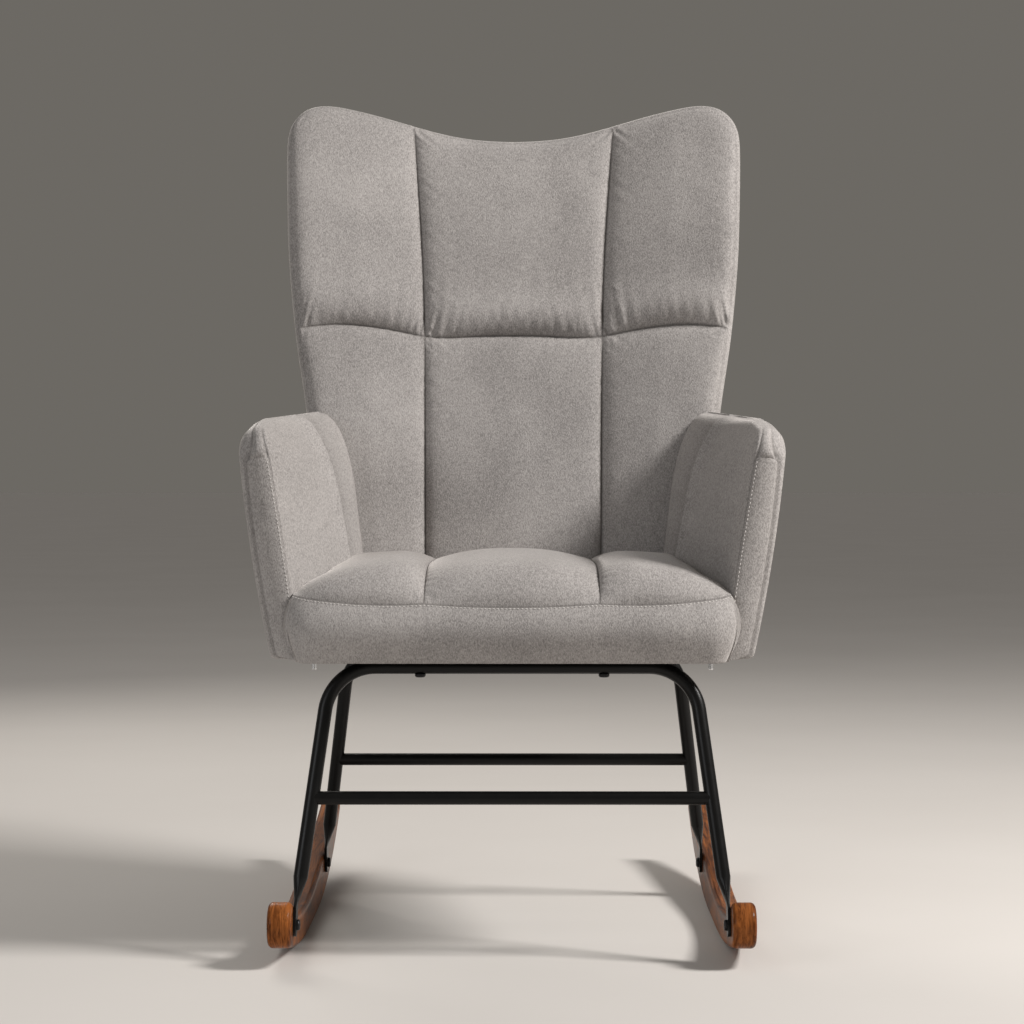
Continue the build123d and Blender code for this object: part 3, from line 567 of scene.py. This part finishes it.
channel = smooth_line([(103.5, -331, 421), (103.8, -320, 429.5), (104, -300, 439.5), (104, -262, 451),
                       (104, -205, 458.5), (103.7, -100, 460), to_back(103, 459)], seat_rows)
seat_edge = smooth_line([(260, -302, 430), to_arm(-272, 432), to_arm(-195, 438), to_arm(-120, 450),
                         to_arm(-30, 461), to_arm(55, 468), (*to_back(190, 468)[:2], 468)], seat_rows)
front_mid = smooth_line([(-103.5, -331, 421), (-50, -332.5, 417.8), (0, -333, 417), (50, -332.5, 417.8),
                         (103.5, -331, 421)], seat_mid)
front_wide = smooth_line([(103.5, -331, 421), (150, -331.5, 419.6), (200, -330, 421.2), (231, -323.5, 424.2),
                          (250.5, -313, 427), (260, -302, 430)], seat_wide)
rear_mid = smooth_line([to_back(-103, 459), to_back(-60, 469), to_back(0, 473), to_back(60, 469),
                        to_back(103, 459)], seat_mid)
rear_wide = smooth_line([to_back(103, 459), to_back(120, 466), to_back(150, 469),
                         (*to_back(190, 468)[:2], 468)], seat_wide)
hump_mid = smooth_line([(0, -333, 417), (0, -331.8, 426), (0, -326, 438.5), (0, -313, 452), (0, -287, 465),
                        (0, -250, 472), (0, -205, 475.5), (0, -60, 478), to_back(0, 473)], seat_rows)
hump_wide = smooth_line([(180, -331, 420.5), (180, -330, 429.5), (180, -324, 440), (178, -311, 451.5),
                         (175, -287, 462), (172, -250, 468), (168, -205, 471.5), (158, -60, 474),
                         to_back(150, 469)], seat_rows)

# %% Seat: three humps
def humped(sheet, hump, share):
    """The sheet raised to a hump line along its middle. The rise falls to the seams as a flattened arch: one
    less a power of the distance from the middle, to a power below one."""
    half = np.argmin(np.abs(share - 0.5))
    arch = (1 - np.abs(2 * share - 1) ** 2.3) ** 0.72
    return sheet + arch[None, :, None] * (hump - sheet[:, half])[:, None]


seat_middle = humped(panel(front_mid, rear_mid, channel * [-1, 1, 1], channel, seat_mid, seat_rows),
                     hump_mid, seat_mid)
seat_right = humped(panel(front_wide, rear_wide, channel, seat_edge, seat_wide, seat_rows),
                    hump_wide, seat_wide)
seat_left = (seat_right * [-1, 1, 1])[:, ::-1]
seat_top = np.concatenate([seat_left[:, :-1], seat_middle, seat_right[:, 1:]], 1)
channel_columns = [len(seat_wide) - 1, len(seat_wide) + len(seat_mid) - 2]
to_channel = np.min([np.linalg.norm(seat_top - seat_top[:, c:c + 1], axis=-1)
                     for c in channel_columns], 0)
to_front = np.linalg.norm(seat_top - seat_top[:1], axis=-1)
seat_normals = skin_normals(seat_top)
seat_normals *= np.sign(seat_normals[len(seat_top) // 2, seat_top.shape[1] // 2, 2])
seat_wrinkle = (1.1 * swell_and_fade(to_channel, 3, 13) * gathers(seat_top[..., 1] + 0.7 * to_channel, 21, 21)
                + 0.9 * swell_and_fade(to_front, 3, 11) * gathers(seat_top[..., 0], 15, 22))
fade = np.clip(np.minimum(np.arange(seat_top.shape[1]), np.arange(seat_top.shape[1])[::-1]) / 12, 0, 1)
fade = fade * np.clip(np.arange(seat_top.shape[0])[::-1, None] / 8, 0, 1)
seat_top = seat_top + seat_normals * (seat_wrinkle * fade)[..., None]
# seat_close is painted shade along the two channels and the front seam.
seat_close = np.maximum(near_seam(to_channel), near_seam(to_front, 1.3))
print("seat top", seat_top.min((0, 1)).round(1), seat_top.max((0, 1)).round(1))

# %% Seat: the rim of the underside
seat_front, arm_front, strip_ends, back_starts = -331, -302, -297, 60
corner_starts, corner_wide, corner_deep = 232, 24, 28
edge = rim(seat_top)
step = np.roll(edge, -1, 0) - np.roll(edge, 1, 0)
away = np.stack([step[:, 1], -step[:, 0], 0 * step[:, 0]], -1)
away /= np.linalg.norm(away, axis=1, keepdims=True)
before = np.clip((strip_ends - edge[:, 1]) / 6, 0, 1)
before = before * before * (3 - 2 * before)
behind = edge[:, 1] > back_starts
floor_edge = edge.copy()
side_x = arm_side(edge[:, 1], under_z) + 1.0
in_front = edge[:, 1] < arm_front
floor_edge[:, 0] = np.sign(edge[:, 0]) * np.where(in_front, np.abs(edge[:, 0]) * 0.99,
                                                  np.minimum(np.abs(edge[:, 0]), side_x))
corner_share = np.clip((np.abs(edge[:, 0]) - corner_starts) / corner_wide, 0, 1)
floor_edge[in_front, 1] = (seat_front + corner_deep * (1 - np.sqrt(1 - corner_share**2)))[in_front]
floor_edge[behind, 1] = back_y(edge[behind, 0], np.full(behind.sum(), under_z)) - 3
floor_edge[:, 2] = under_z - 1.5 * before
print("the strip passes before the arms at", int((before > 0).sum()), "of", len(edge), "rim points")

# %% Seat: front strip, sides and underside
down = crowd(34, 0.5)[1:-1, None]
belly = 15.0 * np.sin(np.pi * down) ** 0.95 * before
belly = belly + 0.5 * swell_and_fade(down * 60, 3, 9) * gathers(edge[:, 0], 16, 23) * before
seat_strip = edge + down[..., None] * (floor_edge - edge) + belly[..., None] * away
seat_strip[..., 2] += 3 * np.sin(np.pi * down) * before
seat_strip[..., 1] -= 8 * np.sin(np.pi * down) * behind
even_share = np.linspace(0, 1, seat_top.shape[1])
corner = [0, seat_top.shape[1] - 1, seat_top.shape[1] + seat_top.shape[0] - 2,
          2 * seat_top.shape[1] + seat_top.shape[0] - 3, len(edge)]
wrap = np.concatenate([floor_edge, floor_edge[:1]])
underside = panel(wrap[:corner[1] + 1], wrap[corner[2]:corner[3] + 1][::-1],
                  wrap[corner[3]:corner[4] + 1][::-1], wrap[corner[1]:corner[2] + 1], even_share, seat_rows)
underside[..., 2] = under_z - 1.5 * np.exp(-np.arange(seat_top.shape[0]) / 4)[:, None]
underside_rim = rim(np.arange(underside.shape[0] * underside.shape[1]).reshape(underside.shape[:2]))
underside.reshape(-1, 3)[underside_rim] = floor_edge
# The last arrays paint shade along the channels, and along the front seam at the top of the strip.
seat_pad = make_pad("seat_pad", seat_top, seat_strip, underside,
                    (seat_close, np.repeat(near_seam(down * 70, 1.3), len(edge), 1) * before, 0 * seat_close))

# %% [markdown]
# ## Stitches
# The front seam of the seat is topstitched, and so is the inner front seam of each arm. A stitch is a short
# thread that lies on the cover and dips in at both ends. A pattern in the cover's material could suggest it,
# but a thread has an outline and a shadow, so each is a small tapered five-sided tube.

# %% Stitches
def stitches(name, line, away, pitch=4.8, long=3.4, thick=0.55):
    """Threads along a line: stations every pitch along it, and round each one five rings of five points
    whose radius is a sine over the stitch's length, raised away from the cover by the same sine."""
    run = np.concatenate([[0], np.cumsum(np.linalg.norm(np.diff(line, axis=0), axis=1))])
    count = int(run[-1] // pitch)
    share = (np.arange(count) + 0.5) / count
    middle, up = along(line, share), along(away, share)
    ahead = along(line, share + 0.001) - along(line, share - 0.001)
    ahead /= np.linalg.norm(ahead, axis=1, keepdims=True)
    up = up - ahead * np.sum(up * ahead, 1, keepdims=True)
    up /= np.linalg.norm(up, axis=1, keepdims=True)
    side = np.cross(ahead, up)
    ring, turn = np.linspace(0, 1, 5), 2 * np.pi * np.arange(5) / 5
    radius = thick * (0.25 + 0.75 * np.sin(np.pi * ring))
    lift = 0.85 * np.sin(np.pi * ring) - 0.25
    points = (middle[:, None, None] + (ring - 0.5)[None, :, None, None] * long * ahead[:, None, None]
              + (lift[None, :, None, None] + radius[None, :, None, None] * np.sin(turn)[None, None, :, None])
              * up[:, None, None] + radius[None, :, None, None] * np.cos(turn)[None, None, :, None]
              * side[:, None, None])
    number = np.arange(count * 25).reshape(count, 5, 5)
    wrapped = np.concatenate([number, number[:, :, :1]], 2)
    walls = np.stack([wrapped[:, :-1, :-1], wrapped[:, :-1, 1:], wrapped[:, 1:, 1:], wrapped[:, 1:, :-1]], -1)
    piece = make_threads(name, points.reshape(-1, 3), walls.reshape(-1, 4), number)
    print(name, count, "stitches")
    return piece


def make_threads(name, points, walls, number):
    """The stitches' walls with a five-cornered cap on both ends of each."""
    mesh = bpy.data.meshes.new(name)
    caps = number[:, 0].tolist() + number[:, -1, ::-1].tolist()
    mesh.from_pydata((points * 0.001).tolist(), [], walls[:, ::-1].tolist() + caps)
    mesh.polygons.foreach_set("use_smooth", np.ones(len(mesh.polygons), bool))
    piece = bpy.data.objects.new(name, mesh)
    bpy.context.scene.collection.objects.link(piece)
    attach(piece, "root")
    return piece


sewn = seat_strip[1, :seat_top.shape[1]]
threads = [stitches("seat_front_stitches", sewn, np.tile([0, -1.0, 0.25], (len(sewn), 1)))]
# The rows of the arm's front strip that carry stitches, and the column that they follow.
lowest, highest, from_seam = 24, -6, 4
inner_row = gusset[lowest:highest, from_seam]
for name, way in (("right_arm_stitches", [1, 1, 1]), ("left_arm_stitches", [-1, 1, 1])):
    threads.append(stitches(name, inner_row * way, np.tile(-arm_run * way, (len(inner_row), 1))))

# %% [markdown]
# ## Finishes
# A finish is a tree of shader nodes. It could be wired node by node, but its maths reads best as sums, so a
# small class wraps a socket and turns each operator into a node.

# %% A socket that can be reckoned with
class Wire:
    """A shader socket. Operators on it add Math nodes, and make() adds any other node."""

    def __init__(self, tree, socket=None):
        self.tree, self.socket = tree, socket

    def make(self, kind, settings=(), inputs=(), out=0):
        """A node of a type, with its settings, then values or wires for its sockets by name or number."""
        node = self.tree.nodes.new("ShaderNode" + kind)
        for key, value in dict(settings).items():
            if key == "stops":
                ramp = node.color_ramp
                for place, colour in value[2:]:
                    ramp.elements.new(place)
                for element, (place, colour) in zip(ramp.elements, sorted(value, key=lambda stop: stop[0])):
                    element.position, element.color = place, (*colour, 1)
            else:
                setattr(node, key, value)
        for key, value in dict(inputs).items():
            if isinstance(value, Wire):
                self.tree.links.new(value.socket, node.inputs[key])
            else:
                node.inputs[key].default_value = value
        return Wire(self.tree, node.outputs[out])

    def reckon(self, operation, a, b, clamp=False):
        """One Math node on two wires or numbers."""
        return self.make("Math", {"operation": operation, "use_clamp": clamp}, {0: a, 1: b})

    def __add__(self, other): return self.reckon("ADD", self, other)
    def __radd__(self, other): return self.reckon("ADD", other, self)
    def __sub__(self, other): return self.reckon("SUBTRACT", self, other)
    def __rsub__(self, other): return self.reckon("SUBTRACT", other, self)
    def __mul__(self, other): return self.reckon("MULTIPLY", self, other)
    def __rmul__(self, other): return self.reckon("MULTIPLY", other, self)

    def clamped(self):
        """The same value, kept between 0 and 1."""
        return self.reckon("ADD", self, 0.0, clamp=True)

    def blend(self, low, high):
        """The colour this far from low to high."""
        return self.make("Mix", {"data_type": "RGBA"}, {0: self, 6: low, 7: high}, out=2)


def start_finish(name):
    """An empty material and a wire on its tree."""
    material = bpy.data.materials.new(name)
    material.use_nodes = True
    material.node_tree.nodes.clear()
    return material, Wire(material.node_tree)


def close_finish(material, wire, varying, **fixed):
    """The Principled shader: wires for what changes over the surface, plain numbers for what doesn't."""
    inputs = {key.replace("_", " "): value for key, value in fixed.items()}
    shader = wire.make("BsdfPrincipled", {}, {**inputs, **varying})
    output = wire.tree.nodes.new("ShaderNodeOutputMaterial")
    wire.tree.links.new(shader.socket, output.inputs["Surface"])
    print("finish", material.name, "has", len(wire.tree.nodes), "nodes")
    return material


# %% [markdown]
# ## Brushed velvet
# The cover is a short-pile velvet. Seen close it is a fine mottle of light and dark where the pile leans one
# way or the other, in faint slanting strokes. Seen whole, broad soft patches show where a hand has brushed
# it. Sheen gives the bright rim. The seams are painted a shade darker, as painted shade in their creases, and
# behind each arm's tuck a painted soft shadow is mixed in the same way. Hairs could make a true pile, but at
# this distance noise and sheen come close and cost far less.

# %% Velvet
def velvet_finish():
    """Mottle is fine noise, part of it drawn along a slant; patches are slow noise; both move one taupe."""
    material, w = start_finish("taupe_velvet")
    place = w.make("Mapping", {}, {"Vector": w.make("TexCoord", out=3), "Scale": (1.0, 0.3, 1.0)})
    slant = w.make("Mapping", {}, {"Vector": place, "Rotation": (0, 0.6, 0), "Scale": (1.0, 1.0, 0.5)})
    strokes = w.make("TexNoise", {}, {"Vector": slant, "Scale": 760.0, "Detail": 2.0, "Roughness": 0.55})
    grain = w.make("TexNoise", {}, {"Vector": place, "Scale": 1100.0, "Detail": 2.0, "Roughness": 0.6})
    tufts = w.make("TexNoise", {}, {"Vector": place, "Scale": 230.0, "Detail": 3.0, "Roughness": 0.7})
    patches = w.make("TexNoise", {}, {"Vector": place, "Scale": 7.0, "Detail": 4.0, "Roughness": 0.55,
                                      "Distortion": 0.6})
    painted_seam_shade = w.make("Attribute", {"attribute_name": "seam"}, out=2)
    mottle = (strokes * 0.65 + grain * 0.35 - 0.5) * 3.0 + 0.5 + (tufts - 0.5) * 0.7 + (patches - 0.5)
    colour = mottle.clamped().blend((0.200, 0.187, 0.180, 1), (0.43, 0.405, 0.390, 1))
    # Painted shade: the colour is mixed towards near black along the seams, as shade in their creases, and
    # behind each arm's tuck as a soft shadow.
    darker = (painted_seam_shade * 0.55).blend(colour, (0.06, 0.053, 0.048, 1))
    bump = w.make("Bump", {}, {"Strength": 0.55, "Distance": 0.0011, "Height": strokes * 0.7 + grain * 0.5})
    rough = 0.86 + (patches - 0.5) * 0.12
    return close_finish(material, w, {"Base Color": darker, "Roughness": rough, "Normal": bump},
                        Sheen_Weight=0.5, Sheen_Roughness=0.35, Sheen_Tint=(0.95, 0.90, 0.86, 1),
                        Specular_IOR_Level=0.18)


velvet = velvet_finish()

# %% [markdown]
# ## Sewing thread
# The stitches are a twisted thread, paler than the cover and without its pile. One plain colour would look
# like plastic, so a very fine noise breaks it up as the twist does.

# %% Thread
def thread_finish():
    """A pale matt thread with a fine twist along it."""
    material, w = start_finish("sewing_thread")
    place = w.make("TexCoord", out=3)
    twist = w.make("TexNoise", {}, {"Vector": place, "Scale": 2500.0, "Detail": 2.0})
    colour = twist.blend((0.50, 0.47, 0.45, 1), (0.76, 0.73, 0.70, 1))
    return close_finish(material, w, {"Base Color": colour}, Roughness=0.7, Sheen_Weight=0.3)


thread = thread_finish()

# %% [markdown]
# ## Rocker wood
# The rockers are hardwood, stained a warm reddish brown and lacquered. Grain runs from nose to tail, so
# all its noise is drawn out along the rocker: slow drifts of tone, bands of growth, and fine dark pores. A
# picture of a plank would show its joins on the curved faces, and noise in space is cut by them as real grain
# is. The lacquer is a thin clear coat.

# %% Wood
def wood_finish():
    """Growth bands are noise drawn out along the rocker, over a slower drift; pores are fine dark peaks."""
    material, w = start_finish("stained_hardwood")
    place = w.make("TexCoord", out=3)
    long = w.make("Mapping", {}, {"Vector": place, "Scale": (1.0, 0.06, 0.16)})
    drift = w.make("TexNoise", {}, {"Vector": long, "Scale": 26.0, "Detail": 3.0, "Distortion": 0.4})
    bands = w.make("TexNoise", {}, {"Vector": long, "Scale": 190.0, "Detail": 4.0, "Roughness": 0.62,
                                    "Distortion": 1.2})
    pores = w.make("TexNoise", {}, {"Vector": long, "Scale": 900.0, "Detail": 2.0})
    tone = (bands - 0.5) * 2.4 + (drift - 0.5) * 1.6 + 0.45
    colour = tone.clamped().blend((0.045, 0.010, 0.002, 1), (0.36, 0.118, 0.030, 1))
    pitted = ((pores - 0.56) * 6.0).clamped()
    darker = (pitted * 0.7).blend(colour, (0.045, 0.014, 0.006, 1))
    bump = w.make("Bump", {}, {"Strength": 0.12, "Distance": 0.0004, "Height": bands - pitted})
    rough = 0.34 + (bands - 0.5) * 0.25
    return close_finish(material, w, {"Base Color": darker, "Roughness": rough, "Normal": bump},
                        Specular_IOR_Level=0.1, IOR=1.3, Coat_Weight=0.14, Coat_IOR=1.35, Coat_Roughness=0.08)


wood = wood_finish()

# %% [markdown]
# ## Metal and the hidden parts
# The leg frames are powder coated in satin black, with the slight orange peel that a baked powder has. The
# bolts in the rockers are blackened, and the studs, nuts and washers are zinc plated and faintly crystalline.
# Plywood and foam are hidden inside. A tree for each would say much the same five times, so one function
# makes them all from two tones, a grain size and a roughness.

# %% Steel, zinc, plywood and cloth
def grained_finish(name, dark, light, fine, rough, swing, depth, metal=0.0, gloss=0.5):
    """Fine noise and a coarser one mix two tones; the coarse one swings the roughness and the fine one
    gives a slight peel of a depth in metres."""
    material, w = start_finish(name)
    place = w.make("TexCoord", out=3)
    peel = w.make("TexNoise", {}, {"Vector": place, "Scale": fine, "Detail": 3.0})
    worn = w.make("TexNoise", {}, {"Vector": place, "Scale": fine / 14, "Detail": 4.0})
    bump = w.make("Bump", {}, {"Strength": 0.25, "Distance": depth, "Height": peel})
    return close_finish(material, w, {"Base Color": (peel * 0.5 + worn * 0.5).blend(dark, light),
                                      "Roughness": rough + (worn - 0.5) * swing, "Normal": bump},
                        Metallic=metal, Specular_IOR_Level=gloss)


black_powder = grained_finish("black_powder_coat", (0.0025, 0.0025, 0.0025, 1), (0.006, 0.0058, 0.0055, 1),
                              fine=900.0, rough=0.33, swing=0.14, depth=0.0003, gloss=0.2)
black_bolt = grained_finish("blackened_bolt", (0.010, 0.010, 0.011, 1), (0.03, 0.03, 0.032, 1),
                            fine=1400.0, rough=0.38, swing=0.2, depth=0.0002, metal=0.7)
zinc_plate = grained_finish("zinc_plate", (0.66, 0.67, 0.68, 1), (0.88, 0.89, 0.90, 1),
                            fine=1100.0, rough=0.22, swing=0.2, depth=0.0002, metal=1.0)
plywood = grained_finish("birch_plywood", (0.42, 0.29, 0.16, 1), (0.62, 0.47, 0.30, 1),
                         fine=320.0, rough=0.7, swing=0.15, depth=0.0004)
foam_block = grained_finish("pad_foam", (0.66, 0.60, 0.42, 1), (0.78, 0.72, 0.54, 1),
                            fine=1200.0, rough=0.9, swing=0.05, depth=0.0008)


def cloth_finish():
    """Non-woven dust cloth: pressed fibres, as fine noise and a coarser spun net."""
    material, w = start_finish("black_dust_cloth")
    place = w.make("TexCoord", out=3)
    fibres = w.make("TexNoise", {}, {"Vector": place, "Scale": 800.0, "Detail": 4.0, "Roughness": 0.7})
    dots = w.make("TexVoronoi", {"feature": "F1"}, {"Vector": place, "Scale": 420.0})
    tone = fibres * 0.7 + dots * 0.4
    bump = w.make("Bump", {}, {"Strength": 0.5, "Distance": 0.0006, "Height": tone})
    colour = tone.blend((0.012, 0.012, 0.012, 1), (0.05, 0.05, 0.05, 1))
    return close_finish(material, w, {"Base Color": colour, "Normal": bump}, Roughness=0.92)


dust_cloth = cloth_finish()

# %% [markdown]
# ## Floor
# The studio floor is plain and pale. A single flat tone would do, but a real floor is never quite even, and
# the faintest cloudiness keeps it from looking like paper.

# %% Floor
def plaster_floor():
    """A plain pale studio floor with the faintest cloudiness."""
    material, w = start_finish("studio_floor")
    cloud = w.make("TexNoise", {}, {"Vector": w.make("TexCoord", out=3), "Scale": 1.6, "Detail": 5.0})
    colour = cloud.blend((0.56, 0.53, 0.50, 1), (0.62, 0.59, 0.56, 1))
    return close_finish(material, w, {"Base Color": colour}, Roughness=0.75)


floor.data.materials.append(plaster_floor())

# %% [markdown]
# ## Dressing the frame
# Each CAD node takes the finish of its slot, so a finish is changed in one place. The pads could simply lie
# over the plain CAD cushions, but two skins so close would show through each other, so each pad stands in for
# the cover and the foam that it replaces.

# %% Dress the frame
finish_of = {"rocker_wood": wood, "black_steel": black_powder, "dark_bolts": black_bolt, "zinc": zinc_plate,
             "plywood": plywood, "foam": foam_block, "upholstery": velvet, "dust_cloth": dust_cloth}
for part in frame["record"]["subparts"]:
    node = frame["nodes"][part["node"]]
    node.data.materials.clear()
    node.data.materials.append(finish_of[part["material_slot"]])
stands_for = ((back_pad, ("back_cover", "back_foam")), (seat_pad, ("seat_cover", "seat_foam")),
              (arm_pads[0], ("right_arm_cover", "right_arm_foam")),
              (arm_pads[1], ("left_arm_cover", "left_arm_foam")))
for pad, nodes in stands_for:
    pad.data.materials.append(velvet)
    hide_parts(*nodes)
for row in threads:
    row.data.materials.append(thread)
print("dressed", len(frame["nodes"]), "CAD nodes,", len(stands_for), "pads and", len(threads), "stitch rows")
